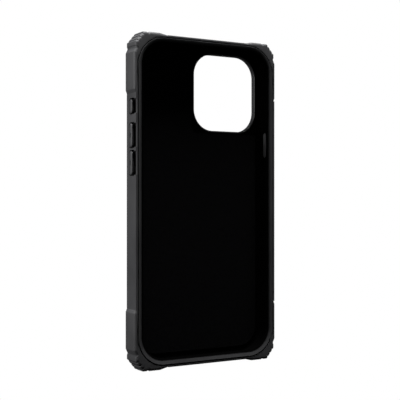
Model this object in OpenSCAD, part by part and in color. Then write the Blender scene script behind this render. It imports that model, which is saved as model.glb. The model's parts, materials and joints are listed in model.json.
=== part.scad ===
// Rugged case for a large phone. A soft tray holds the phone behind a raised lip.
// A hard side frame, a back plate, four rubber corner bumpers, sprung keys,
// a camera guard and a magnet ring are built around the tray.
//
// X runs across the case and Y from the screen side (-Y) to the back (+Y). Z runs up its length.
// The origin is under the middle of the case, on the plane that it stands on.
// Depths are counted from the front of the lip towards the back.

/* [Phone] */
// Width of the phone that the case holds
phone_w = 77; // [62:0.5:93]
// Height of the phone
phone_h = 160; // [132:0.5:194]
// Thickness of the phone
phone_t = 8.2; // [6.8:0.1:11]
// Corner radius of the phone, seen from the front
phone_r = 13; // [10.5:0.5:16]
// Clearance between the phone and the tray, on each side
fit_gap = 0.2; // [0.1:0.05:0.5]

/* [Walls] */
// Thickness of the soft tray's side wall
tray_wall = 1.7; // [1.4:0.1:2.4]
// Thickness of the hard side frame
frame_wall = 1.1; // [0.9:0.1:1.6]
// Thickness of the tray's floor behind the phone
floor_t = 1; // [0.8:0.1:1.8]
// Thickness of the back plate
plate_t = 0.8; // [0.6:0.1:1.5]
// Thickness of the fabric liner under the phone
liner_t = 0.4; // [0.3:0.1:0.8]

/* [Lip] */
// Height of the lip in front of the phone's glass
lip_rise = 1.5; // [1:0.1:2.5]
// How far the lip reaches over the phone's edge
lip_cover = 2.2; // [1.5:0.1:3]
// Slope of the lip, measured across its inner face
lip_slope = 2.1; // [1:0.1:2.4]
// Width of the parting groove between the lip and the frame
groove_w = 0.5; // [0.3:0.1:0.8]
// Depth of the parting groove
groove_d = 0.8; // [0.4:0.1:1.2]
// How far the frame's front edge lies behind the lip
frame_back = 0.2; // [0:0.1:0.5]

/* [Corner bumpers] */
// Gap between the slope of the top left side leg and the window of the action key
leg_gap = 2.4; // [1.5:0.1:4]
// Length of the slope where a side leg runs out
side_taper = 1.7; // [1:0.1:4]
// Length of the raised leg along each end, from the side of the case
end_leg = 14; // [11.5:0.5:17]
// Length of the slope where an end leg runs out
end_taper = 4.5; // [2:0.5:6]
// How far the side legs stand out from the frame
side_rise = 0.7; // [0.3:0.1:1.2]
// How far the top legs stand out from the frame
top_rise = 0.85; // [0.3:0.05:1.2]
// How far the bottom legs stand out from the frame
bottom_rise = 1.1; // [0.6:0.05:1.4]
// How far the corner blocks lie behind the end legs
block_drop = 0.1; // [0:0.05:0.5]
// Depth of the bed in the frame that the bumpers sit in
bed_depth = 0.6; // [0.4:0.1:0.8]
// Corner cut of the bumpers, measured along the side
corner_cut = 4.4; // [3:0.1:6]
// Distance from the corner's outer sides to the notch in each leg
notch_at = 7; // [6:0.1:9]
// Length of the slope from a side notch up to the leg
side_slope = 2.2; // [1:0.1:3.5]
// Length of the slope from an end notch up to the leg
end_slope = 0.8; // [0.4:0.1:3.5]
// Width of the notches at their floor
notch_w = 0.7; // [0.4:0.1:1.2]
// Depth of the notches below the frame's face
notch_d = 0.3; // [0.1:0.1:0.6]
// Radius of the tread grooves that cross each corner
tread_r = 0.55; // [0.4:0.05:0.7]
// Distance between the tread grooves
tread_pitch = 2.1; // [1.6:0.1:2.6]
// Number of tread grooves on each corner cut
treads = 3; // [1:1:3]

/* [Keys] */
// Distance from the phone's top to the middle of the action key
action_drop = 33.1; // [27.5:0.1:40]
// Distance between the action key and the volume-up key
up_gap = 4.9; // [4:0.1:7]
// Distance between the two volume keys
down_gap = 1.9; // [1.5:0.1:5]
// Distance from the phone's top to the middle of the side key
side_drop = 50; // [41:0.1:60]
// Length of the action key
action_len = 7.1; // [5.9:0.1:8.6]
// Length of each volume key
volume_len = 11.8; // [9.8:0.1:14.2]
// Length of the side key
side_len = 16; // [13:0.1:19.5]
// Width of every key, front to back
key_w = 3; // [2.5:0.1:3.6]
// How far a key stands out from the frame
key_rise = 0.3; // [0.1:0.1:0.4]
// Travel of a key when it is pressed
key_travel = 0.4; // [0.2:0.05:0.5]
// Gap around a key in its window, at its ends and behind it
key_gap = 0.5; // [0.3:0.1:0.8]
// Rim of the frame in front of the key windows, behind the parting groove
window_rim = 0.4; // [0.3:0.05:1.5]
// How far that rim lies below the frame's face
rim_drop = 0.7; // [0:0.1:0.8]
// Corner radius of a key window
window_r = 1.8; // [1:0.1:2.2]

/* [Camera] */
// Width of the camera opening
camera_w = 38; // [31:0.5:46]
// Height of the camera opening
camera_h = 40; // [33:0.5:48]
// Corner radius of the camera opening
camera_r = 11; // [8:0.5:13]
// Distance from the tray's pocket to the camera opening, at the top and the side
camera_edge = 3.2; // [2.9:0.1:6]
// Height of the camera guard behind the back plate
guard_h = 1.5; // [1:0.1:3]
// Width of the camera guard's rim
guard_w = 2.6; // [2:0.1:3.2]
// Thickness of the camera guard's sleeve in the plate
sleeve_t = 0.7; // [0.5:0.1:1]

/* [Bottom openings] */
// Width of the charging port opening
port_w = 13; // [11:0.5:15.5]
// Height of the charging port and speaker openings, front to back
port_h = 6.4; // [5.4:0.1:6.6]
// Width of each speaker opening
speaker_w = 8; // [6.5:0.5:9.5]

/* [Magnet ring] */
// Outer diameter of the magnet carrier
ring_d = 56; // [46:0.5:60]
// Width of the magnet carrier
ring_w = 6; // [5:0.1:8]
// Number of magnets in the ring
magnets = 18; // [12:2:24]
// Width of each magnet, across the ring
magnet_w = 3.8; // [3:0.1:4.6]
// Gap between neighbouring magnets, along the ring
magnet_gap = 0.8; // [0.5:0.1:1.5]
// Thickness of the carrier and its magnets
magnet_t = 0.6; // [0.5:0.1:0.9]
// Width of the alignment magnet
align_w = 6; // [5:0.5:8]
// Length of the alignment magnet
align_len = 18; // [15:0.5:21.5]
// Distance from the ring to the alignment magnet
align_gap = 2.5; // [2:0.1:4]
// Border of the carrier around the alignment magnet
align_rim = 1; // [0.6:0.1:1.5]
// Thickness of each cover film of the magnet ring
film_t = 0.1; // [0.1:0.05:0.2]
// Distance from the camera guard down to the ring
ring_gap = 6.4; // [2:0.1:9]

/* [Hidden] */
magnet_names = [for (i = [1 : magnets]) str("ring_magnet_", i < 10 ? "0" : "", i)];

$fn = 64;

// Fineness of the circles inside a hull
hull_fn = 32;
// Thickness of the slices that a hull is stretched over
slice = 0.01;
// Extra length of a cutter past the face that it opens
over = 1;

// Outlines, seen from the front
pocket_w = phone_w + 2 * fit_gap;
pocket_h = phone_h + 2 * fit_gap;
pocket_r = phone_r + fit_gap;
tray_w = pocket_w + 2 * tray_wall;
tray_h = pocket_h + 2 * tray_wall;
tray_r = pocket_r + tray_wall;
case_w = tray_w + 2 * frame_wall;
case_h = tray_h + 2 * frame_wall;
case_r = tray_r + frame_wall;
opening_w = pocket_w - 2 * lip_cover;
opening_h = pocket_h - 2 * lip_cover;
opening_r = pocket_r - lip_cover;

// Depths, from the front of the lip
glass_d = lip_rise;
floor_d = glass_d + phone_t + fit_gap + liner_t;
plate_d = floor_d + floor_t;
back_d = plate_d + plate_t;
case_d = back_d + guard_h;
key_d = glass_d + phone_t / 2;

// Place of the whole case about the origin
front_y = -case_d / 2;
middle_z = bottom_rise + case_h / 2;
phone_top = phone_h / 2;

// Chamfers of the frame and the bumpers at their front and back edges
front_chamfer = 0.4;
back_chamfer = 1.8;

// Narrow back face of the frame between its chamfer and the back plate
back_rim = 0.3;
plate_inset = back_chamfer + back_rim;

// Liner, smaller than the lip's opening so that nothing reaches over it
liner_inset = 0.8;
liner_w = opening_w - 2 * liner_inset;
liner_h = opening_h - 2 * liner_inset;
liner_r = opening_r - liner_inset;

// Camera opening, in the top corner that is opposite the volume keys
camera_x = pocket_w / 2 - camera_edge - camera_w / 2;
camera_z = pocket_h / 2 - camera_edge - camera_h / 2;

// Bottom openings, in the middle and halfway between it and each bumper
leg_end = case_w / 2 - end_leg - end_taper;
speaker_x = (port_w / 2 + leg_end) / 2;
port_r = port_h / 2 - slice;

// Raised legs along the sides, which end short of the action key's window
window_drop = action_drop - action_len / 2 - key_gap;
side_leg = fit_gap + tray_wall + frame_wall + window_drop - leg_gap - side_taper;

// Places of the volume keys, from the phone's top to their middles
up_drop = action_drop + action_len / 2 + up_gap + volume_len / 2;
down_drop = up_drop + volume_len + down_gap;
left_keys = [[action_drop, action_len], [up_drop, volume_len], [down_drop, volume_len]];

// Keys: the window in the frame continues as a recess in the tray, with a lowered rim in front
window_front = groove_d + window_rim;
window_back = key_d + key_w / 2 + key_gap;
recess_d = 0.6;
cap_clear = 0.1;
plunger_flange = 0.35;
plunger_step = 0.6;
plunger_w = 1.6;
plunger_inset = 2;
plunger_play = 0.1;
mark_d = 0.3;
mark_w = 0.6;
mark_len = 2.4;
plus_cross = 1.8;

// Magnet ring, below the camera guard and let into the floor and the plate
ring_z = camera_z - camera_h / 2 - guard_w - ring_gap - ring_d / 2;
module_t = magnet_t + 2 * film_t;
module_in_plate = 0.2;
module_front = plate_d + module_in_plate - module_t;
magnet_r = (ring_d - ring_w) / 2;
magnet_step = 360 / magnets;
magnet_angle = magnet_step - magnet_gap / magnet_r * 180 / PI;
magnet_play = 0.05;
align_z = ring_z - ring_d / 2 - align_gap - align_len / 2;
pad_rise = 0.2;
pad_d = ring_d + 2;

// Extrudes a drawing made in X and Z between two depths. It is centred on the case's middle.
module layer(from_d, to_d) {
    translate([0, front_y + to_d, middle_z])
        rotate([90, 0, 0])
            linear_extrude(height = to_d - from_d)
                children();
}

// Rectangle with round corners, centred on the drawing's middle
module rounded(w, h, r) {
    square([w - 2 * r, h], center = true);
    square([w, h - 2 * r], center = true);
    for (x = [-1, 1], z = [-1, 1])
        translate([x * (w / 2 - r), z * (h / 2 - r)])
            circle(r);
}

// The case's outer form with chamfered front and back edges
module chamfered_form(w, h, r, from_d, to_d) {
    hull() {
        $fn = hull_fn;
        layer(from_d, from_d + slice)
            rounded(w - 2 * front_chamfer, h - 2 * front_chamfer, r - front_chamfer);
        layer(from_d + front_chamfer, to_d - back_chamfer)
            rounded(w, h, r);
        layer(to_d - slice, to_d)
            rounded(w - 2 * back_chamfer, h - 2 * back_chamfer, r - back_chamfer);
    }
}

// Space inside the lip, from the glass out to the front, wider at the front
module lip_space() {
    slope_out = lip_slope / lip_rise;
    hull() {
        $fn = 2 * hull_fn;
        layer(glass_d + over, glass_d + over + slice)
            rounded(opening_w, opening_h, opening_r);
        layer(glass_d - slice, glass_d)
            rounded(opening_w, opening_h, opening_r);
        layer(-over, slice - over)
            rounded(
                opening_w + 2 * (lip_slope + slope_out * over),
                opening_h + 2 * (lip_slope + slope_out * over),
                opening_r + lip_slope + slope_out * over
            );
    }
}

module camera_hole(grow, from_d, to_d) {
    layer(from_d, to_d)
        translate([camera_x, camera_z])
            rounded(camera_w + 2 * grow, camera_h + 2 * grow, camera_r + grow);
}

// Port and speaker openings through the bottom wall
module bottom_openings() {
    for (hole = [[0, port_w], [-speaker_x, speaker_w], [speaker_x, speaker_w]])
        translate([hole[0], front_y + key_d, -over])
            linear_extrude(height = 2 * over + bottom_rise + frame_wall + tray_wall)
                rounded(hole[1], port_h, port_r);
}

// A window for a key, as a solid that crosses a side wall between two distances from the middle
module key_window(side, drop, len, inner_x, outer_x) {
    depth = (window_front + window_back) / 2;
    translate([side > 0 ? inner_x : -outer_x, front_y + depth, middle_z + phone_top - drop])
        rotate([90, 0, 90])
            linear_extrude(height = outer_x - inner_x)
                rounded(window_back - window_front, len + 2 * key_gap, window_r);
}

module key_windows(inner_x, outer_x) {
    for (key = left_keys)
        key_window(-1, key[0], key[1], inner_x, outer_x);
    key_window(1, side_drop, side_len, inner_x, outer_x);
}

// Space over the lowered rim in front of each key on the left, as long as the key
module rim_spaces() {
    depth = (window_front + window_back) / 2;
    for (key = left_keys)
        translate([-case_w / 2 + rim_drop - over / 2, front_y + (depth - over) / 2,
                   middle_z + phone_top - key[0]])
            cube([over, depth + over, key[1]], center = true);
}

// Outline of the back plate, which lies inside the frame's back rim
module plate_plan() {
    rounded(case_w - 2 * plate_inset, case_h - 2 * plate_inset, case_r - plate_inset);
}

// A bar with round ends that lies along Z. It crosses a side wall between two distances.
module key_bar(side, drop, len, w, inner_x, outer_x) {
    translate([side > 0 ? inner_x : -outer_x, front_y + key_d, middle_z + phone_top - drop])
        rotate([90, 0, 90])
            linear_extrude(height = outer_x - inner_x)
                rounded(w, len, w / 2 - slice);
}

// The hole in the tray that a key's plunger slides in, with a wider step for its flange
module plunger_hole(side, drop, len) {
    stem_len = len - 2 * plunger_inset;
    stem_play = 2 * plunger_play;
    key_bar(side, drop, stem_len + stem_play, plunger_w + stem_play, pocket_w / 2 - over, case_w / 2);
    key_bar(side, drop, stem_len + plunger_step * 2 + stem_play, plunger_w + plunger_step * 2 + stem_play,
        pocket_w / 2 - over, pocket_w / 2 + plunger_flange + fit_gap);
}

module soft_tray() {
    color([0.07, 0.07, 0.075])
        difference() {
            union() {
                layer(0, groove_d + slice)
                    rounded(tray_w - 2 * groove_w, tray_h - 2 * groove_w, tray_r - groove_w);
                layer(groove_d, plate_d)
                    rounded(tray_w, tray_h, tray_r);
            }
            lip_space();
            layer(glass_d, floor_d)
                rounded(pocket_w, pocket_h, pocket_r);
            camera_hole(sleeve_t, floor_d - over, plate_d + over);
            bottom_openings();
            key_windows(tray_w / 2 - recess_d, case_w / 2);
            plunger_hole(-1, action_drop, action_len);
            plunger_hole(-1, up_drop, volume_len);
            plunger_hole(-1, down_drop, volume_len);
            plunger_hole(1, side_drop, side_len);
            magnet_space(module_front, plate_d + over);
        }
}

// The four bumpers' outlines, as they cut the frame's bed
module bumper_beds() {
    for (x = [-1, 1]) {
        bumper_plan(x, 1, top_rise, 0);
        bumper_plan(x, -1, bottom_rise, 0);
    }
}

module side_frame() {
    color([0.12, 0.12, 0.125])
        difference() {
            chamfered_form(case_w, case_h, case_r, frame_back, back_d);
            layer(-over, plate_d)
                rounded(tray_w, tray_h, tray_r);
            layer(plate_d - slice, back_d + over)
                plate_plan();
            layer(-over, back_d + over)
                bumper_beds();
            bottom_openings();
            key_windows(tray_w / 2 - over, case_w / 2 + over);
            rim_spaces();
        }
}

// A bumper's outline in distances from the side (first) and from the end (second) of the case
function bumper_points(rise) = [
    [0, side_leg + side_taper],
    [-side_rise, side_leg],
    [-side_rise, notch_at + notch_w / 2 + side_slope],
    [notch_d, notch_at + notch_w / 2],
    [notch_d, notch_at - notch_w / 2],
    [0, notch_at - notch_w / 2 - notch_d],
    [0, corner_cut],
    [corner_cut, block_drop - rise],
    [notch_at - notch_w / 2 - notch_d, block_drop - rise],
    [notch_at - notch_w / 2, block_drop + notch_d - rise],
    [notch_at + notch_w / 2, block_drop + notch_d - rise],
    [notch_at + notch_w / 2 + end_slope, -rise],
    [end_leg, -rise],
    [end_leg + end_taper, 0],
    [end_leg + end_taper, case_r / 2],
    [case_r / 2, side_leg + side_taper]
];

// One bumper seen from the front. side and end are -1 or 1, and cut is 1 where the treads are cut.
module bumper_plan(side, end, rise, cut) {
    difference() {
        polygon([for (p = bumper_points(rise))
            [side * (case_w / 2 - p[0]), end * (case_h / 2 - p[1])]]);
        rounded(case_w - 2 * bed_depth, case_h - 2 * bed_depth, case_r - bed_depth);
        if (cut > 0)
            for (i = [0 : treads - 1]) {
                along = corner_cut / 2 + (i - (treads - 1) / 2) * tread_pitch * sqrt(0.5);
                up = along * (corner_cut + rise - block_drop) / corner_cut;
                translate([side * (case_w / 2 - along), end * (case_h / 2 - corner_cut + up)])
                    circle(tread_r);
            }
    }
}

// Outer form of the bumpers, whose front and back edges are chamfered
module bumper_form(rise) {
    hull() {
        layer(frame_back, frame_back + slice)
            square([case_w + 2 * (side_rise - front_chamfer), case_h + 2 * (rise - front_chamfer)], center = true);
        layer(frame_back + front_chamfer, back_d - back_chamfer)
            square([case_w + 2 * side_rise, case_h + 2 * rise], center = true);
        layer(back_d - slice, back_d)
            square([case_w + 2 * (side_rise - back_chamfer), case_h + 2 * (rise - back_chamfer)], center = true);
    }
}

module corner_bumper(side, end, rise) {
    color([0.1, 0.1, 0.105])
        intersection() {
            layer(frame_back, back_d)
                bumper_plan(side, end, rise, 1);
            bumper_form(rise);
        }
}

module back_plate() {
    color([0.09, 0.09, 0.095])
        difference() {
            union() {
                layer(plate_d, back_d)
                    plate_plan();
                layer(plate_d, back_d + pad_rise)
                    translate([0, ring_z])
                        circle(d = pad_d);
            }
            camera_hole(sleeve_t, plate_d - over, back_d + over);
            magnet_space(plate_d - over, plate_d + module_in_plate);
        }
}

module fabric_liner() {
    color([0.16, 0.16, 0.17])
        difference() {
            layer(floor_d - liner_t, floor_d)
                rounded(liner_w, liner_h, liner_r);
            layer(floor_d - liner_t - over, floor_d + over)
                translate([camera_x - camera_w / 2 - sleeve_t - liner_inset,
                           camera_z - camera_h / 2 - sleeve_t - liner_inset])
                    square([camera_w + camera_h, camera_w + camera_h]);
        }
}

module camera_guard() {
    color([0.05, 0.05, 0.055])
        difference() {
            union() {
                camera_hole(sleeve_t, floor_d, back_d + slice);
                hull() {
                    $fn = hull_fn;
                    camera_hole(guard_w, back_d, case_d - guard_h / 2);
                    camera_hole(guard_w - guard_h / 2, case_d - slice, case_d);
                }
            }
            camera_hole(0, floor_d - over, case_d + over);
        }
}

// A key cap. mark is 0 for a plain key, -1 for a minus mark and 1 for a plus mark.
module key_cap(side, drop, len, mark) {
    outer_x = case_w / 2 + key_rise;
    inner_x = tray_w / 2 - recess_d + key_travel + cap_clear;
    color([0.14, 0.14, 0.145])
        difference() {
            key_bar(side, drop, len, key_w, inner_x, outer_x);
            if (mark != 0)
                key_mark(side, drop, mark_w, mark_len, outer_x);
            if (mark > 0)
                key_mark(side, drop, plus_cross, mark_w, outer_x);
        }
}

// One stroke of a mark, cut into the face of a key
module key_mark(side, drop, w, len, outer_x) {
    translate([side * outer_x, front_y + key_d, middle_z + phone_top - drop])
        cube([2 * mark_d, w, len], center = true);
}

// The soft plunger behind a key: a stem through the tray's wall and a flange that keeps it in
module key_plunger(side, drop, len) {
    stem_len = len - 2 * plunger_inset;
    tip_x = pocket_w / 2 + fit_gap;
    cap_x = tray_w / 2 - recess_d + key_travel + cap_clear;
    color([0.2, 0.2, 0.21]) {
        key_bar(side, drop, stem_len, plunger_w, tip_x, cap_x);
        key_bar(side, drop, stem_len + 2 * plunger_step, plunger_w + 2 * plunger_step,
            tip_x, tip_x + plunger_flange);
    }
}

// Outline of the magnet carrier: a ring with a tab below it for the alignment magnet
module carrier_plan() {
    difference() {
        translate([0, ring_z])
            circle(d = ring_d);
        translate([0, ring_z])
            circle(d = ring_d - 2 * ring_w);
    }
    translate([0, align_z])
        square([align_w + 2 * align_rim, align_len + 2 * align_rim], center = true);
    translate([0, (ring_z - ring_d / 2 + align_z) / 2])
        square([align_w, align_len + 2 * align_gap], center = true);
}

module magnet_space(from_d, to_d) {
    layer(from_d, to_d)
        carrier_plan();
}

// One arc magnet of the ring, as a drawing
module magnet_plan(i, grow) {
    angle = magnet_angle + 2 * grow / magnet_r * 180 / PI;
    inner = magnet_r - magnet_w / 2 - grow;
    reach = ring_d;
    translate([0, ring_z])
        rotate((i - 0.5) * magnet_step - 90)
            intersection() {
                difference() {
                    circle(inner + magnet_w + 2 * grow);
                    circle(inner);
                }
                polygon([
                    [0, 0],
                    [reach * cos(angle / 2), -reach * sin(angle / 2)],
                    [reach * cos(angle / 2), reach * sin(angle / 2)]
                ]);
            }
}

module magnet_carrier() {
    color([0.75, 0.75, 0.72])
        layer(module_front + film_t, module_front + film_t + magnet_t)
            difference() {
                carrier_plan();
                for (i = [1 : magnets])
                    magnet_plan(i, magnet_play);
                translate([0, align_z])
                    square([align_w + 2 * magnet_play, align_len + 2 * magnet_play], center = true);
            }
}

module ring_magnet(i) {
    color([0.62, 0.63, 0.65])
        layer(module_front + film_t, module_front + film_t + magnet_t)
            magnet_plan(i, 0);
}

module alignment_magnet() {
    color([0.62, 0.63, 0.65])
        layer(module_front + film_t, module_front + film_t + magnet_t)
            translate([0, align_z])
                square([align_w, align_len], center = true);
}

module magnet_film(from_d) {
    color([0.85, 0.85, 0.83])
        magnet_space(from_d, from_d + film_t);
}

soft_tray();
side_frame();
back_plate();
fabric_liner();
camera_guard();
corner_bumper(-1, 1, top_rise);  // corner_bumper_top_left
corner_bumper(1, 1, top_rise);  // corner_bumper_top_right
corner_bumper(-1, -1, bottom_rise);  // corner_bumper_bottom_left
corner_bumper(1, -1, bottom_rise);  // corner_bumper_bottom_right
key_cap(-1, action_drop, action_len, 0);  // action_key
key_cap(-1, up_drop, volume_len, 1);  // volume_up_key
key_cap(-1, down_drop, volume_len, -1);  // volume_down_key
key_cap(1, side_drop, side_len, 0);  // side_key
key_plunger(-1, action_drop, action_len);  // action_key_plunger
key_plunger(-1, up_drop, volume_len);  // volume_up_key_plunger
key_plunger(-1, down_drop, volume_len);  // volume_down_key_plunger
key_plunger(1, side_drop, side_len);  // side_key_plunger
magnet_carrier();
alignment_magnet();
magnet_film(module_front);  // magnet_film_front
magnet_film(module_front + film_t + magnet_t);  // magnet_film_back
for (i = [1 : magnets])
    ring_magnet(i);
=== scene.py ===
"""Looks of a rugged phone case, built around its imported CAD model.

Shapes are worked out in millimetres and stored in metres. X runs across the case, Y from its front
to its back and Z up its length. Depths are counted from the front of the lip towards the back.
"""

import json
import math

import bmesh
import bpy
import numpy as np
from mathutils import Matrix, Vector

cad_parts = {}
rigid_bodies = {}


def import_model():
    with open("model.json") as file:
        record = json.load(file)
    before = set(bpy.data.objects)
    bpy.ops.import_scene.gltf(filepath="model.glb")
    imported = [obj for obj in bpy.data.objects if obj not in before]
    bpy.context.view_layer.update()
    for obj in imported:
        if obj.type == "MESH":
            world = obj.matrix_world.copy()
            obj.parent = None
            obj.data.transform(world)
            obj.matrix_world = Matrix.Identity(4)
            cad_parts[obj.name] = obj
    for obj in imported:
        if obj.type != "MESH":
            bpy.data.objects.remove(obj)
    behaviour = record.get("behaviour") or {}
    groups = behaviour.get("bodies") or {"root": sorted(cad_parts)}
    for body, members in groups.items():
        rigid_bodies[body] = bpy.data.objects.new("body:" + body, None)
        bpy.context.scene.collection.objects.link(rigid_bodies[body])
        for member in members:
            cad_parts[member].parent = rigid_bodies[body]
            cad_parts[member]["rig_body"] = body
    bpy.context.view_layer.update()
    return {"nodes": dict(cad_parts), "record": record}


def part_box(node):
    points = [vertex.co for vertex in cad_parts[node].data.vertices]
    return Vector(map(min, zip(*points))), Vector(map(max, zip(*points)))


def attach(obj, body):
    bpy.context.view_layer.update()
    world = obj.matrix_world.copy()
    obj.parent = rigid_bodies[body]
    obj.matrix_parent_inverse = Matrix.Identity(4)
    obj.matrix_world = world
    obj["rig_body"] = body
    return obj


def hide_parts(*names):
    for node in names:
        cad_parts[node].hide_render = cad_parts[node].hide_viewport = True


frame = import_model()

MM = 0.001
X, Y, Z = 0, 1, 2


def box_mm(node):
    """Lowest and highest corner of a CAD node, in millimetres."""
    low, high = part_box(node)
    return np.array(low) / MM, np.array(high) / MM


# Driving dimensions, read from the CAD nodes
TRAY_LOW, TRAY_HIGH = box_mm("soft_tray")
FRAME_LOW, FRAME_HIGH = box_mm("side_frame")
PLATE_HIGH = box_mm("back_plate")[1]
LINER_LOW, LINER_HIGH = box_mm("fabric_liner")
GUARD_LOW, GUARD_HIGH = box_mm("camera_guard")
FRONT_Y = TRAY_LOW[1]
MIDDLE_Z = (FRAME_LOW[2] + FRAME_HIGH[2]) / 2
HALF_W = FRAME_HIGH[0]
HALF_H = (FRAME_HIGH[2] - FRAME_LOW[2]) / 2

# Corner radii of the case's outlines, which share one centre in each corner
CASE_R = 16.0
CORE_X = HALF_W - CASE_R
CORE_Z = HALF_H - CASE_R
TRAY_R = TRAY_HIGH[0] - CORE_X
POCKET_R = 13.2
OPENING_R = 11.0
LIP_SLOPE = 2.1
LIP_DIP = 0.3
GROOVE_W = 0.5
GROOVE_D = 0.8
BED_R = CASE_R - 0.6
BACK_CHAMFER = 1.8
PLATE_R = PLATE_HIGH[0] - CORE_X

# Corner bumpers
BUMPERS = ("corner_bumper_top_left", "corner_bumper_top_right",
           "corner_bumper_bottom_left", "corner_bumper_bottom_right")
TOP_LOW, TOP_HIGH = box_mm(BUMPERS[0])
BOTTOM_LOW = box_mm(BUMPERS[2])[0]
SIDE_LEG_LEN = FRAME_HIGH[2] - TOP_LOW[2]
END_LEG_LEN = TOP_HIGH[0] - FRAME_LOW[0]
SIDE_RISE = FRAME_LOW[0] - TOP_LOW[0]
TOP_RISE = TOP_HIGH[2] - FRAME_HIGH[2]
BOTTOM_RISE = FRAME_LOW[2] - BOTTOM_LOW[2]
SIDE_TAPER, END_TAPER = 1.7, 4.5
BLOCK_DROP = 0.1
CORNER_CUT = 4.4
NOTCH_AT, NOTCH_W, NOTCH_D = 7.0, 0.7, 0.3
SIDE_SLOPE, END_SLOPE = 2.2, 0.8
TREAD_PITCH, TREAD_W, TREAD_D = 2.1, 0.9, 0.32
FRONT_ROUND = 1.5
CROWN = 0.1
BED_Z = HALF_H - SIDE_LEG_LEN
BED_X = HALF_W - END_LEG_LEN

# Depths
GLASS_D = 1.5
LINER_D = LINER_LOW[1] - FRONT_Y
FLOOR_D = LINER_HIGH[1] - FRONT_Y
PLATE_D = TRAY_HIGH[1] - FRONT_Y
BACK_D = FRAME_HIGH[1] - FRONT_Y
FRAME_D = FRAME_LOW[1] - FRONT_Y
CASE_D = GUARD_HIGH[1] - FRONT_Y
MIDDLE_D = BACK_D / 2
OVER = 1.0

# Camera opening and its guard
CAMERA_R = 11.0
GUARD_RIM = 2.6
SLEEVE = 0.7
CAMERA_MARGIN = SLEEVE + 0.8
CAMERA_W = GUARD_HIGH[0] - GUARD_LOW[0] - 2 * GUARD_RIM
CAMERA_H = GUARD_HIGH[2] - GUARD_LOW[2] - 2 * GUARD_RIM
CAMERA_X = (GUARD_LOW[0] + GUARD_HIGH[0]) / 2
CAMERA_Z = (GUARD_LOW[2] + GUARD_HIGH[2]) / 2 - MIDDLE_Z

# Keys and their windows
KEYS = ("action_key", "volume_up_key", "volume_down_key", "side_key")
KEY_GAP = 0.5
WINDOW_FRONT = GROOVE_D + 0.4
WINDOW_R = 1.8
RIM_DROP = 0.7
KEY_RECESS = 0.6
MARK_D, MARK_W, MARK_LEN, MARK_CROSS = 0.3, 0.6, 2.4, 1.8
MARK_R, MARK_STEP = 0.12, 0.03
MINUS = ((MARK_W, MARK_LEN),)
PLUS = ((MARK_W, MARK_LEN), (MARK_CROSS, MARK_W))

# Plungers' holes: their play, how much narrower the stem is, and the flange's thickness
PLAY, STEM_STEP, FLANGE = 0.2, 1.2, 0.55

# Bottom openings
PORT_W, PORT_H, SPEAKER_W = 13.0, 6.4, 8.0
SPEAKER_X = (PORT_W / 2 + BED_X) / 2

# Raised round pad of the back plate, over the magnet ring
RING_LOW, RING_HIGH = box_mm("magnet_film_back")
PAD_R = (RING_HIGH[0] - RING_LOW[0]) / 2 + 1
PAD_Z = RING_HIGH[2] - (RING_HIGH[0] - RING_LOW[0]) / 2 - MIDDLE_Z
PAD_RISE = PLATE_HIGH[1] - FRAME_HIGH[1]

# Distance from the middle at which a disc's profile starts, and the share of a direction along an
# axis above which it counts as square to the other
HUB = 2
SQUARE_ON = 0.999

# Painted shade on the tray: its dark tone in the pocket, where its fall with depth starts and ends, and
# the share of full tone that the recesses keep
PAINTED_POCKET_SHADE = (0.0006, 0.0006, 0.0006)
SHADE_START, SHADE_DEPTH = 0.05, 0.5
RECESS_UNSHADED_SHARE = 0.3
BLOTCH = 0.012

# Studio
CENTRE = Vector((0, 0, MIDDLE_Z * MM))
WORLD_STRENGTH = 0.04
CAMERA_TURN, CAMERA_AWAY, CAMERA_ASIDE = -30.9, 0.480, -0.00084
CAMERA_LENS, CAMERA_SHIFT = 83.36, 0.003


# ---------------------------------------------------------------- shapes

def filleted(points, radii, steps=5, closed=True):
    """An outline whose corners are arcs.

    At a corner with unit directions a and b to its neighbours and half angle h between them, the
    arc of radius r starts r / tan(h) along a, ends as far along b, and turns about the point
    r / sin(h) along their bisector. Its points are spread evenly over its angle.
    """
    p = np.array(points, float)
    r = np.maximum(np.broadcast_to(np.array(radii, float), len(p)), 0.02)[:, None]
    a = np.roll(p, 1, 0) - p
    b = np.roll(p, -1, 0) - p
    a /= np.linalg.norm(a, axis=1)[:, None]
    b /= np.linalg.norm(b, axis=1)[:, None]
    half = np.arccos(np.clip((a * b).sum(1), -1, 1))[:, None] / 2
    middle = (a + b) / np.linalg.norm(a + b, axis=1)[:, None]
    centre = p + middle * r / np.sin(half)
    first = (p + a * r / np.tan(half) - centre)[:, None, :]
    last = (p + b * r / np.tan(half) - centre)[:, None, :]
    turn = (math.pi - 2 * half)[:, None, :]
    s = np.linspace(0, 1, steps)[None, :, None]
    arcs = centre[:, None, :] + (np.sin((1 - s) * turn) * first + np.sin(s * turn) * last) / np.sin(turn)
    if closed:
        return arcs.reshape(-1, 2)
    return np.concatenate([p[:1], arcs[1:-1].reshape(-1, 2), p[-1:]])


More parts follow.
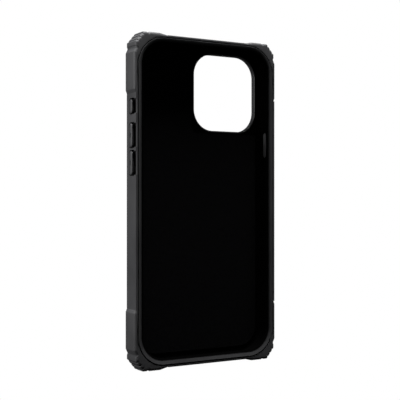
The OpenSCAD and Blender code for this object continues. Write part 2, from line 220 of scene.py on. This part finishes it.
def around(core_x=CORE_X, core_z=CORE_Z, corner_steps=24, side_stops=(), end_stops=()):
    """A rounded rectangle's path: its core points and its outward directions.

    The path goes once round the core rectangle. Along a side the direction stays square to it, and
    in each corner it turns through 90 degrees. side_stops and end_stops are extra places on the
    sides and ends.
    """
    side = np.array(sorted([-s for s in side_stops] + list(side_stops)), float)
    end = np.array(sorted([-s for s in end_stops] + list(end_stops)), float)
    turn = np.linspace(0, math.pi / 2, corner_steps + 1)
    cores, normals = [], []
    for quarter, (sx, sz) in enumerate([(1, 1), (-1, 1), (-1, -1), (1, -1)]):
        angle = turn + quarter * math.pi / 2
        cores.append(np.tile([sx * core_x, sz * core_z], (len(angle), 1)))
        normals.append(np.stack([np.cos(angle), np.sin(angle)], 1))
        if quarter % 2 == 0:
            stops = np.stack([-sx * end, np.full(len(end), sz * core_z)], 1)
        else:
            stops = np.stack([np.full(len(side), sx * core_x), -sz * side], 1)
        cores.append(stops)
        normals.append(np.tile([math.cos(angle[-1]), math.sin(angle[-1])], (len(stops), 1)))
    return np.concatenate(cores), np.concatenate(normals)


def carried(path, rho, depth):
    """A profile carried along a path: point = core + rho * direction, at the profile's depth."""
    core, normal = path
    rho, depth = np.broadcast_arrays(np.atleast_2d(rho), np.atleast_2d(depth))
    x = core[:, None, 0] + normal[:, None, 0] * rho
    z = core[:, None, 1] + normal[:, None, 1] * rho
    y = np.broadcast_to(FRONT_Y + depth, x.shape)
    return np.stack([x, y, MIDDLE_Z + z], -1)


def grid_faces(rows, columns, wrap_rows, wrap_columns):
    """The four-sided faces of a grid of points, which may close on itself in either direction."""
    i = np.arange(rows if wrap_rows else rows - 1)[:, None]
    j = np.arange(columns if wrap_columns else columns - 1)[None, :]
    i2, j2 = (i + 1) % rows, (j + 1) % columns
    return np.stack(np.broadcast_arrays(
        i * columns + j, i2 * columns + j, i2 * columns + j2, i * columns + j2), -1).reshape(-1, 4)


def signed_volume(points, faces):
    """Six times the volume that faces enclose, above zero where most of them point outwards."""
    total = 0.0
    for face in faces:
        corner = points[list(face)]
        total += (np.cross(corner[1:-1], corner[2:]) @ corner[0]).sum()
    return total


def make_mesh(name, points, faces):
    """A mesh object at the origin from points in millimetres.

    All its faces are turned over together where their signed volume is below zero. That does not
    mend faces which are wound unlike each other.
    """
    points = np.asarray(points, float).reshape(-1, 3)
    faces = [tuple(int(k) for k in face) for face in faces]
    if signed_volume(points, faces) < 0:
        faces = [face[::-1] for face in faces]
    mesh = bpy.data.meshes.new(name)
    mesh.from_pydata(points * MM, [], faces)
    shell = bmesh.new()
    shell.from_mesh(mesh)
    bmesh.ops.remove_doubles(shell, verts=shell.verts, dist=0.001 * MM)
    shell.to_mesh(mesh)
    shell.free()
    mesh.validate()
    mesh.shade_smooth()
    piece = bpy.data.objects.new(name, mesh)
    bpy.context.scene.collection.objects.link(piece)
    return piece


def ring_body(name, surface):
    """A closed ring: a grid that closes on itself in both directions."""
    rows, columns = surface.shape[:2]
    return make_mesh(name, surface, grid_faces(rows, columns, True, True))


def capped_body(name, surface):
    """A grid whose columns close on themselves, with a flat face over its first and last row.

    Known fault: the two flat faces are wound against the grid, so they point the other way to it.
    """
    rows, columns = surface.shape[:2]
    faces = list(grid_faces(rows, columns, False, True))
    faces.append(np.arange(columns)[::-1])
    faces.append((rows - 1) * columns + np.arange(columns))
    return make_mesh(name, surface, faces)


def disc_body(name, path, profile):
    """A solid disc: the profile of distances and depths is carried along the path, from the middle
    of one face over the edge to the middle of the other, and both inner outlines are closed flat."""
    rho, depth = profile[:, 0], profile[:, 1]
    surface = carried(path, rho, depth).transpose(1, 0, 2)
    return capped_body(name, surface)


def straight_body(name, outline, axis, start, stop):
    """A straight body between two planes square to an axis, from an outline in the other two."""
    surface = np.empty((2, len(outline), 3))
    surface[:, :, [other for other in range(3) if other != axis]] = outline
    surface[:, :, axis] = [[start], [stop]]
    return capped_body(name, surface)


def slab(name, outline, from_d, to_d):
    """A straight body between two depths, from an outline in X and in Z from the case's middle."""
    return straight_body(name, outline + [0, MIDDLE_Z], Y, FRONT_Y + from_d, FRONT_Y + to_d)


def rectangle(x, y, w, h, r, steps=8):
    """A rounded rectangle's outline, centred on x and y."""
    left, right, low, high = x - w / 2, x + w / 2, y - h / 2, y + h / 2
    return filleted([[left, low], [right, low], [right, high], [left, high]], r, steps)


def combined(piece, others, operation):
    """Takes other bodies out of a piece, or joins them to it, for good, and removes them."""
    for other in others:
        step = piece.modifiers.new("step", "BOOLEAN")
        step.operation = operation
        step.solver = "EXACT"
        step.object = other
        bpy.context.view_layer.update()
        graph = bpy.context.evaluated_depsgraph_get()
        result = bpy.data.meshes.new_from_object(piece.evaluated_get(graph))
        piece.modifiers.clear()
        piece.data = result
        bpy.data.objects.remove(other)
    return piece


def cut(piece, cutters):
    """Takes the cutters' space out of a piece."""
    return combined(piece, cutters, "DIFFERENCE")


# ---------------------------------------------------------------- pieces

def camera_cutter(grow, from_d, to_d):
    """The camera opening as a body, made larger all round by grow."""
    w, h = CAMERA_W + 2 * grow, CAMERA_H + 2 * grow
    outline = rectangle(CAMERA_X, CAMERA_Z, w, h, CAMERA_R + grow, 16)
    return slab("camera_cutter", outline, from_d, to_d)


def port_cutters():
    """The charging port and the two speaker openings, through the bottom wall."""
    key_low, key_high = box_mm("side_key")
    middle_y = (key_low[1] + key_high[1]) / 2
    low_z, high_z = BOTTOM_LOW[2] - OVER, FRAME_LOW[2] + CASE_R / 2
    holes = [(0, PORT_W), (-SPEAKER_X, SPEAKER_W), (SPEAKER_X, SPEAKER_W)]
    outlines = [rectangle(x, middle_y, w, PORT_H, PORT_H / 2 - 0.05, 12) for x, w in holes]
    return [straight_body("port_cutter", outline, Z, low_z, high_z) for outline in outlines]


def window_cutter(key, inner_x, outer_x):
    """A key's window, as a body that crosses the side wall between two distances from the middle."""
    low, high = box_mm(key)
    front, back = FRONT_Y + WINDOW_FRONT, high[1] + KEY_GAP
    length = high[2] - low[2] + 2 * KEY_GAP
    outline = rectangle((front + back) / 2, (low[2] + high[2]) / 2, back - front, length, WINDOW_R)
    side = 1 if high[0] > 0 else -1
    return straight_body("window_cutter", outline, X, side * inner_x, side * outer_x)


def rim_cutter(key):
    """The space over the lowered rim in front of a key on the left."""
    low, high = box_mm(key)
    front, back = FRONT_Y - OVER, (FRONT_Y + WINDOW_FRONT + high[1] + KEY_GAP) / 2
    outline = rectangle((front + back) / 2, (low[2] + high[2]) / 2, back - front, high[2] - low[2], 0.3)
    return straight_body("rim_cutter", outline, X, RIM_DROP - HALF_W, -HALF_W - OVER)


def plunger_cutters(key):
    """The stepped hole for a key's plunger, a little wider than its stem and its flange."""
    low, high = box_mm(key + "_plunger")
    side = 1 if high[0] > 0 else -1
    tip = min(abs(low[0]), abs(high[0]))
    y, z = (low[1] + high[1]) / 2, (low[2] + high[2]) / 2
    w, length = high[1] - low[1] + PLAY, high[2] - low[2] + PLAY
    stem_w = w - STEM_STEP
    stem = rectangle(y, z, stem_w, length - STEM_STEP, stem_w / 2 - 0.02, 6)
    wide = rectangle(y, z, w, length, w / 2 - 0.02, 6)
    return [straight_body("stem_cutter", stem, X, side * (tip - OVER), side * HALF_W),
            straight_body("flange_cutter", wide, X, side * (tip - OVER), side * (tip + FLANGE))]


def tray_piece():
    """The soft tray: one profile carried round the case.

    It runs from the back face round the wall, over the groove and the rounded lip, down the slope to
    the glass, back into the pocket and over the floor.
    """
    lip_outer = TRAY_R - GROOVE_W
    profile = filleted(
        [[HUB, PLATE_D], [TRAY_R, PLATE_D], [TRAY_R, GROOVE_D], [lip_outer, GROOVE_D], [lip_outer, 0],
         [OPENING_R + LIP_SLOPE, LIP_DIP], [OPENING_R, GLASS_D], [POCKET_R, GLASS_D],
         [POCKET_R, FLOOR_D], [HUB, FLOOR_D]],
        [0, 0.1, 0.12, 0.15, 0.12, 1.5, 0.12, 0.1, 0.6, 0], 7, closed=False)
    tray = disc_body("tray_moulding", around(side_stops=(20, 50), end_stops=(12,)), profile)
    cutters = [camera_cutter(SLEEVE, FLOOR_D - OVER, PLATE_D + OVER)] + port_cutters()
    for key in KEYS:
        cutters.append(window_cutter(key, TRAY_HIGH[0] - KEY_RECESS, HALF_W))
        cutters += plunger_cutters(key)
    return cut(tray, cutters)


def frame_piece():
    """The hard frame: a thin profile carried round the tray, lowered where the bumpers lie.

    The radius of its front edge grows from the sides to the ends: profile = side + (end - side) * n,
    where n is the square of the direction's upright part.
    """
    points = [[TRAY_R, FRAME_D], [CASE_R, FRAME_D], [CASE_R, BACK_D - BACK_CHAMFER],
              [CASE_R - BACK_CHAMFER, BACK_D], [PLATE_R, BACK_D], [PLATE_R, PLATE_D], [TRAY_R, PLATE_D]]
    side, end = (filleted(points, [0.02, r, 0.8, 0.15, 0.02, 0.02, 0.02], 6) for r in (0.08, 0.5))
    step = 0.02
    path = around(side_stops=(BED_Z, BED_Z + step), end_stops=(BED_X, BED_X + step))
    core, normal = path
    profile = side + (end - side) * (normal[:, 1] ** 2)[:, None, None]
    on_side, on_end = (np.abs(normal) > SQUARE_ON).T
    between = np.abs(core) <= np.array([BED_X, BED_Z]) + step / 2
    proud = (on_side & between[:, 1]) | (on_end & between[:, 0])
    limit = np.where(proud, CASE_R, BED_R)[:, None]
    shell = ring_body("frame_moulding", carried(path, np.minimum(profile[..., 0], limit), profile[..., 1]))
    cutters = port_cutters() + [window_cutter(key, TRAY_HIGH[0] - OVER, HALF_W + OVER) for key in KEYS]
    return cut(shell, cutters + [rim_cutter(key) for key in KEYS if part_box(key)[1][0] < 0])


def bumper_outline(rise):
    """A bumper's outer outline, in distances from the case's side and from its end.

    It rises along the slope of the side leg, drops into the notch, crosses the corner cut with its
    treads, and goes on the same way along the end. The third number of a point is its radius.
    """
    near, far, block = NOTCH_AT - NOTCH_W / 2, NOTCH_AT + NOTCH_W / 2, rise - BLOCK_DROP
    start = [[0, SIDE_LEG_LEN, 0.05], [-SIDE_RISE, SIDE_LEG_LEN - SIDE_TAPER, 0.8],
             [-SIDE_RISE, far + SIDE_SLOPE, 0.8], [NOTCH_D, far, 0.12], [NOTCH_D, near, 0.12],
             [0, near - NOTCH_D, 0.15], [0, CORNER_CUT, 0.5]]
    first, last = np.array([0, CORNER_CUT]), np.array([CORNER_CUT, -block])
    along = (last - first) / np.linalg.norm(last - first)
    inwards = np.array([-along[1], along[0]])
    treads = []
    for i in (-1, 0, 1):
        middle = first + (last - first) * (0.5 + i * TREAD_PITCH * math.sqrt(0.5) / CORNER_CUT)
        for part, deep in ((-0.5, 0), (-0.25, TREAD_D), (0.25, TREAD_D), (0.5, 0)):
            treads.append([*(middle + along * part * TREAD_W + inwards * deep), 0.1])
    finish = [[CORNER_CUT, -block, 0.8], [near - NOTCH_D, -block, 0.15], [near, NOTCH_D - block, 0.12],
              [far, NOTCH_D - block, 0.12], [far + END_SLOPE, -rise, 0.3],
              [END_LEG_LEN - END_TAPER, -rise, 2.5], [END_LEG_LEN, 0, 0.05]]
    points = np.array(start + treads + finish)
    return filleted(points[:, :2], points[:, 2], 5, closed=False)


def bumper_piece(node, name):
    """A corner bumper: a rounded profile carried along the bumper's outline.

    Each point of the outline has its nearest core point. The profile's first number is a distance
    inwards from the outline along the line to that core point, and it stops at the frame's bed.
    """
    high = box_mm(node)[1]
    side = 1 if high[0] > 0 else -1
    end = 1 if high[2] > MIDDLE_Z else -1
    rise = TOP_RISE if end > 0 else BOTTOM_RISE
    outline = bumper_outline(rise)
    place = np.stack([HALF_W - outline[:, 0], HALF_H - outline[:, 1]], 1)
    core = np.minimum(place, [CORE_X, CORE_Z])
    reach = np.linalg.norm(place - core, axis=1)[:, None]
    normal = (place - core) / reach
    thick = CASE_R - BED_R + rise + CORNER_CUT
    profile = filleted(
        [[thick, FRAME_D], [0, FRAME_D], [0, MIDDLE_D], [CROWN, BACK_D - BACK_CHAMFER],
         [BACK_CHAMFER + CROWN, BACK_D], [thick, BACK_D]],
        [0.02, FRONT_ROUND, 3.0, 0.8, 0.4, 0.02], 9)
    room = reach - BED_R
    inwards = np.minimum(profile[:, 0], room)
    depth = np.minimum(profile[:, 1], BACK_D - BACK_CHAMFER + np.clip(room - CROWN, 0, BACK_CHAMFER))
    mirror = np.array([side, end])
    surface = carried((core * mirror, normal * mirror), reach - inwards, depth)
    return capped_body(name, surface)


def guard_piece():
    """The camera guard: a rim behind the plate and a sleeve through it, carried round the opening."""
    core, normal = around(CAMERA_W / 2 - CAMERA_R, CAMERA_H / 2 - CAMERA_R, 16)
    core = core + [CAMERA_X, CAMERA_Z]
    rim = CAMERA_R + GUARD_RIM
    profile = filleted(
        [[CAMERA_R, FLOOR_D], [CAMERA_R + SLEEVE, FLOOR_D], [CAMERA_R + SLEEVE, BACK_D], [rim, BACK_D],
         [rim, CASE_D - 0.75], [rim - 0.75, CASE_D], [CAMERA_R, CASE_D]],
        [0.15, 0.1, 0.05, 0.1, 0.4, 0.4, 0.45], 6)
    return ring_body("guard_rim", carried((core, normal), profile[:, 0], profile[:, 1]))


def plate_piece():
    """The back plate: a flat sheet with a rounded edge, a camera opening and a raised round pad."""
    profile = filleted([[HUB, PLATE_D], [PLATE_R, PLATE_D], [PLATE_R, BACK_D], [HUB, BACK_D]],
                       [0, 0.05, 0.25, 0], 6, closed=False)
    plate = disc_body("plate_moulding", around(), profile)
    core, normal = around(0.0, 0.0, 24)
    root_d, pad_d = (PLATE_D + BACK_D) / 2, BACK_D + PAD_RISE
    edge = filleted([[HUB, root_d], [PAD_R, root_d], [PAD_R, pad_d], [HUB, pad_d]],
                    [0, 0.05, PAD_RISE * 0.9, 0], 6, closed=False)
    pad = disc_body("pad", (core + [0, PAD_Z], normal), edge)
    plate = combined(plate, [pad], "UNION")
    return cut(plate, [camera_cutter(SLEEVE, PLATE_D - OVER, BACK_D + OVER)])


def liner_piece():
    """The microfibre sheet on the tray's floor, with a corner left out round the camera opening."""
    half_w, half_h = LINER_HIGH[0], LINER_HIGH[2] - MIDDLE_Z
    left, bottom = CAMERA_X - CAMERA_W / 2 - CAMERA_MARGIN, CAMERA_Z - CAMERA_H / 2 - CAMERA_MARGIN
    corner = LINER_HIGH[0] - CORE_X
    outline = filleted(
        [[-half_w, -half_h], [half_w, -half_h], [half_w, bottom],
         [left, bottom], [left, half_h], [-half_w, half_h]],
        [corner, corner, 1, 3, 1, corner], 12)
    return slab("liner_sheet", outline, LINER_D, FLOOR_D)


def key_piece(node, name, mark=()):
    """A key cap: a domed profile carried round a bar with round ends, with a mark sunk in its face."""
    low, high = box_mm(node)
    side = 1 if high[0] > 0 else -1
    width, length = high[1] - low[1], high[2] - low[2]
    inner, outer = min(abs(low[0]), abs(high[0])), max(abs(low[0]), abs(high[0]))
    y, z, r = (low[1] + high[1]) / 2, (low[2] + high[2]) / 2, width / 2
    core, normal = around(0.0, length / 2 - r, 12)
    dome = 0.14
    profile = filleted(
        [[0.05, inner], [r, inner], [r, outer - dome], [r * 0.45, outer - dome * 0.12], [0.05, outer]],
        [0, 0.05, 0.32, 1.2, 0], 7, closed=False)
    rho = profile[:, 0]
    surface = np.stack([
        np.broadcast_to(side * profile[:, 1], (len(core), len(profile))),
        y + core[:, None, 0] + normal[:, None, 0] * rho,
        z + core[:, None, 1] + normal[:, None, 1] * rho], -1).transpose(1, 0, 2)
    cap = capped_body(name, surface)
    cutters = []
    for i, (across, along) in enumerate(mark):
        bottom = outer - MARK_D - i * MARK_STEP
        outline = rectangle(y, z, across, along, MARK_R, 4)
        cutters.append(straight_body("mark_cutter", outline, X, side * bottom, side * (outer + OVER)))
    return cut(cap, cutters)


# ---------------------------------------------------------------- materials

def node_material(name, colour, roughness):
    """A new material, and the parts of it that the finishes share."""
    material = bpy.data.materials.new(name)
    material.use_nodes = True
    tree = material.node_tree
    shader = tree.nodes["Principled BSDF"]
    shader.inputs["Base Color"].default_value = (*colour, 1)
    shader.inputs["Roughness"].default_value = roughness
    place = tree.nodes.new("ShaderNodeTexCoord")
    return material, tree, shader, place


def noise(tree, place, size, detail=3.0):
    """Noise whose features are about size metres across."""
    texture = tree.nodes.new("ShaderNodeTexNoise")
    texture.inputs["Scale"].default_value = 1 / size
    texture.inputs["Detail"].default_value = detail
    tree.links.new(place.outputs["Object"], texture.inputs["Vector"])
    return texture.outputs["Fac"]


def ranged(tree, value, from_low, from_high, to_low, to_high):
    """A value moved from one range to another, and kept inside it."""
    node = tree.nodes.new("ShaderNodeMapRange")
    node.inputs["From Min"].default_value = from_low
    node.inputs["From Max"].default_value = from_high
    node.inputs["To Min"].default_value = to_low
    node.inputs["To Max"].default_value = to_high
    tree.links.new(value, node.inputs["Value"])
    return node.outputs["Result"]


def maths(tree, operation, *values):
    """One step of arithmetic on values."""
    node = tree.nodes.new("ShaderNodeMath")
    node.operation = operation
    for i, value in enumerate(values):
        tree.links.new(value, node.inputs[i])
    return node.outputs[0]


def spread(tree, value, low, high):
    """A noise value, mostly from 0.3 to 0.7, spread over a new range."""
    return ranged(tree, value, 0.3, 0.7, low, high)


def two_tone(tree, value, dark, light):
    """A colour between two, by a value."""
    node = tree.nodes.new("ShaderNodeMix")
    node.data_type = "RGBA"
    node.inputs["A"].default_value = (*dark, 1)
    node.inputs["B"].default_value = (*light, 1)
    tree.links.new(spread(tree, value, 0, 1), node.inputs["Factor"])
    return node.outputs["Result"]


def moulded(name, colour, roughness, grain, height, specular, vary=0.12):
    """Moulded rubber or plastic: a fine grain in its surface, and slow changes in tone and gloss."""
    material, tree, shader, place = node_material(name, colour, roughness)
    colour = np.array(colour)
    slow = noise(tree, place, BLOTCH)
    tone = two_tone(tree, slow, colour * (1 - vary), colour * (1 + vary))
    tree.links.new(tone, shader.inputs["Base Color"])
    tree.links.new(spread(tree, slow, roughness - 0.04, roughness + 0.04), shader.inputs["Roughness"])
    shader.inputs["Specular IOR Level"].default_value = specular
    bump = tree.nodes.new("ShaderNodeBump")
    bump.inputs["Strength"].default_value = 0.6
    bump.inputs["Distance"].default_value = height
    tree.links.new(noise(tree, place, grain, 4.0), bump.inputs["Height"])
    tree.links.new(bump.outputs["Normal"], shader.inputs["Normal"])
    return material


def painted_shade_tray(name, colour, roughness, specular):
    """The tray's rubber with painted shade: its tone falls away with depth down the lip's slope and in the
    pocket, where shade would fall.

    The recesses behind the keys, which lie outside the pocket, are painted darker too, but they keep a
    part of the full tone.
    """
    material = moulded(name, colour, roughness, 0.00025, 0.00004, specular)
    tree = material.node_tree
    shader = tree.nodes["Principled BSDF"]
    place = tree.nodes.new("ShaderNodeTexCoord")
    parts = tree.nodes.new("ShaderNodeSeparateXYZ")
    tree.links.new(place.outputs["Object"], parts.inputs["Vector"])
    # Painted shade: the base colour falls from its full tone at the lip's crest to the dark pocket tone
    # with depth.
    shade_end = (FRONT_Y + GLASS_D * SHADE_DEPTH) * MM
    down = ranged(tree, parts.outputs["Y"], (FRONT_Y + SHADE_START) * MM, shade_end, 1, 0)
    across = maths(tree, "ABSOLUTE", parts.outputs["X"])
    wall = POCKET_R + CORE_X
    # Painted shade in the key recesses outside the pocket: they keep only this share of the full tone.
    recess = ranged(tree, across, (wall + 0.5) * MM, (wall + 0.9) * MM, 0, RECESS_UNSHADED_SHARE)
    tone = tree.nodes.new("ShaderNodeMix")
    tone.data_type = "RGBA"
    tone.inputs["A"].default_value = (*PAINTED_POCKET_SHADE, 1)
    full = shader.inputs["Base Color"].links[0].from_socket
    tree.links.new(maths(tree, "MAXIMUM", down, recess), tone.inputs["Factor"])
    tree.links.new(full, tone.inputs["B"])
    tree.links.new(tone.outputs["Result"], shader.inputs["Base Color"])
    return material


def microfibre(name, colour):
    """Short brushed fibres: a soft sheen over a clumped, matt pile."""
    material, tree, shader, place = node_material(name, colour, 0.95)
    colour = np.array(colour)
    clumps = noise(tree, place, 0.0011, 5.0)
    tree.links.new(two_tone(tree, clumps, colour * 0.6, colour * 1.5), shader.inputs["Base Color"])
    shader.inputs["Specular IOR Level"].default_value = 0.02
    bump = tree.nodes.new("ShaderNodeBump")
    bump.inputs["Strength"].default_value = 0.8
    bump.inputs["Distance"].default_value = 0.00012
    tree.links.new(noise(tree, place, 0.0004, 6.0), bump.inputs["Height"])
    tree.links.new(bump.outputs["Normal"], shader.inputs["Normal"])
    return material


def nickel(name):
    """Nickel plating with a fine rolled grain along Z."""
    material, tree, shader, place = node_material(name, (0.62, 0.61, 0.59), 0.28)
    shader.inputs["Metallic"].default_value = 1
    mapping = tree.nodes.new("ShaderNodeMapping")
    mapping.inputs["Scale"].default_value = (9000, 9000, 400)
    streaks = tree.nodes.new("ShaderNodeTexNoise")
    streaks.inputs["Scale"].default_value = 1
    tree.links.new(place.outputs["Object"], mapping.inputs["Vector"])
    tree.links.new(mapping.outputs["Vector"], streaks.inputs["Vector"])
    tree.links.new(spread(tree, streaks.outputs["Fac"], 0.2, 0.4), shader.inputs["Roughness"])
    return material


FINISHES = {
    "tray_rubber": painted_shade_tray("tray_rubber", (0.031, 0.031, 0.032), 0.7, 0),
    "frame_plastic": moulded("frame_plastic", (0.028, 0.028, 0.0295), 0.55, 0.0003, 0.00005, 0.25),
    "plate_plastic": moulded("plate_plastic", (0.018, 0.018, 0.019), 0.5, 0.0003, 0.00005, 0.5),
    "bumper_rubber": moulded("bumper_rubber", (0.028, 0.028, 0.0295), 0.6, 0.00028, 0.00005, 0.25),
    "guard_plastic": moulded("guard_plastic", (0.012, 0.012, 0.013), 0.4, 0.00025, 0.00003, 0.5),
    "key_plastic": moulded("key_plastic", (0.03, 0.03, 0.0315), 0.5, 0.00025, 0.00003, 0.3),
    "plunger_rubber": moulded("plunger_rubber", (0.02, 0.02, 0.021), 0.7, 0.0003, 0.00003, 0.35),
    "liner_fabric": microfibre("liner_fabric", (0.0015, 0.0015, 0.0017)),
    "carrier_plastic": moulded("carrier_plastic", (0.6, 0.6, 0.58), 0.5, 0.0004, 0.00003, 0.5, 0.04),
    "magnet_nickel": nickel("magnet_nickel"),
    "film_plastic": moulded("film_plastic", (0.7, 0.7, 0.68), 0.35, 0.0006, 0.00002, 0.5, 0.04),
}


def finish_piece(piece, node, slot):
    """Lets a piece stand for a CAD node on its body, with its finish."""
    piece.data.materials.clear()
    piece.data.materials.append(FINISHES[slot])
    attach(piece, frame["nodes"][node]["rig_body"])
    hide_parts(node)


def smooth_by_angle(piece, degrees=40):
    """Smooth shading that breaks at the sharp edges."""
    piece.data.shade_smooth()
    piece.data.set_sharp_from_angle(angle=math.radians(degrees))


SLOTS = {part["node"]: part["material_slot"] for part in frame["record"]["subparts"]}

shaped = [
    (tray_piece(), "soft_tray"),
    (frame_piece(), "side_frame"),
    (plate_piece(), "back_plate"),
    (guard_piece(), "camera_guard"),
    (liner_piece(), "fabric_liner"),
    (key_piece("action_key", "action_cap"), "action_key"),
    (key_piece("volume_up_key", "volume_up_cap", PLUS), "volume_up_key"),
    (key_piece("volume_down_key", "volume_down_cap", MINUS), "volume_down_key"),
    (key_piece("side_key", "side_cap"), "side_key"),
]
shaped += [(bumper_piece(node, node.replace("corner_bumper", "bumper")), node) for node in BUMPERS]
for piece, node in shaped:
    smooth_by_angle(piece)
    finish_piece(piece, node, SLOTS[node])
stands_for = {node: piece for piece, node in shaped}
for node, part in frame["nodes"].items():
    if node not in stands_for:
        part.data.materials.clear()
        part.data.materials.append(FINISHES[SLOTS[node]])


# ---------------------------------------------------------------- studio

def area_light(name, place, size, power):
    """A soft square light at a place, turned towards the case. Lengths are in metres."""
    data = bpy.data.lights.new(name, "AREA")
    data.shape = "RECTANGLE"
    data.size, data.size_y = size
    data.energy = power
    light = bpy.data.objects.new(name, data)
    light.location = place
    direction = CENTRE - Vector(place)
    light.rotation_euler = direction.to_track_quat("-Z", "Y").to_euler()
    bpy.context.scene.collection.objects.link(light)


def studio():
    """A pale floor that turns up into a round wall, and a soft white world."""
    turn = np.linspace(0, 2 * math.pi, 97)[:-1]
    bend = np.linspace(0, math.pi / 2, 13)
    radius, corner, height = 2.5, 0.8, 2.2
    rho = np.concatenate([[0.001], radius - corner + corner * np.sin(bend), [radius]])
    level = np.concatenate([[0], corner - corner * np.cos(bend), [height]])
    points = np.stack([rho[:, None] * np.cos(turn), rho[:, None] * np.sin(turn),
                       np.broadcast_to(level[:, None], (len(level), len(turn)))], -1)
    mesh = bpy.data.meshes.new("studio_floor")
    mesh.from_pydata(points.reshape(-1, 3), [], grid_faces(len(level), len(turn), False, True).tolist())
    mesh.shade_smooth()
    floor = bpy.data.objects.new("studio_floor", mesh)
    bpy.context.scene.collection.objects.link(floor)
    material = bpy.data.materials.new("studio_white")
    material.use_nodes = True
    tree = material.node_tree
    tree.nodes.clear()
    glow = tree.nodes.new("ShaderNodeEmission")
    glow.inputs["Color"].default_value = (1, 1, 1, 1)
    glow.inputs["Strength"].default_value = 1.0
    output = tree.nodes.new("ShaderNodeOutputMaterial")
    tree.links.new(glow.outputs["Emission"], output.inputs["Surface"])
    mesh.materials.append(material)
    floor.visible_diffuse = False
    floor.visible_glossy = False
    floor.visible_shadow = False
    world = bpy.data.worlds.new("studio")
    world.use_nodes = True
    sky = world.node_tree.nodes["Background"]
    sky.inputs["Color"].default_value = (1, 1, 1, 1)
    sky.inputs["Strength"].default_value = WORLD_STRENGTH
    bpy.context.scene.world = world
    bpy.context.scene.view_settings.view_transform = "Standard"


def front_camera():
    """A level camera in front of the case and to its left, at the height of its middle."""
    azimuth = math.radians(CAMERA_TURN)
    data = bpy.data.cameras.new("camera")
    data.sensor_width = 36
    data.lens = CAMERA_LENS
    data.shift_y = CAMERA_SHIFT
    camera = bpy.data.objects.new("camera", data)
    back = Vector((math.sin(azimuth), -math.cos(azimuth), 0))
    right = Vector((math.cos(azimuth), math.sin(azimuth), 0))
    camera.location = CENTRE + back * CAMERA_AWAY + right * CAMERA_ASIDE
    camera.rotation_euler = (-back).to_track_quat("-Z", "Y").to_euler()
    bpy.context.scene.collection.objects.link(camera)
    bpy.context.scene.camera = camera


studio()
area_light("key_light", (-0.7, 0.12, 0.32), (0.25, 0.4), 7.6)
area_light("top_light", (-0.02, -0.14, 1.05), (0.4, 0.25), 42)
area_light("fill_light", (0.38, -0.6, -0.08), (0.35, 0.35), 0.15)
front_camera()
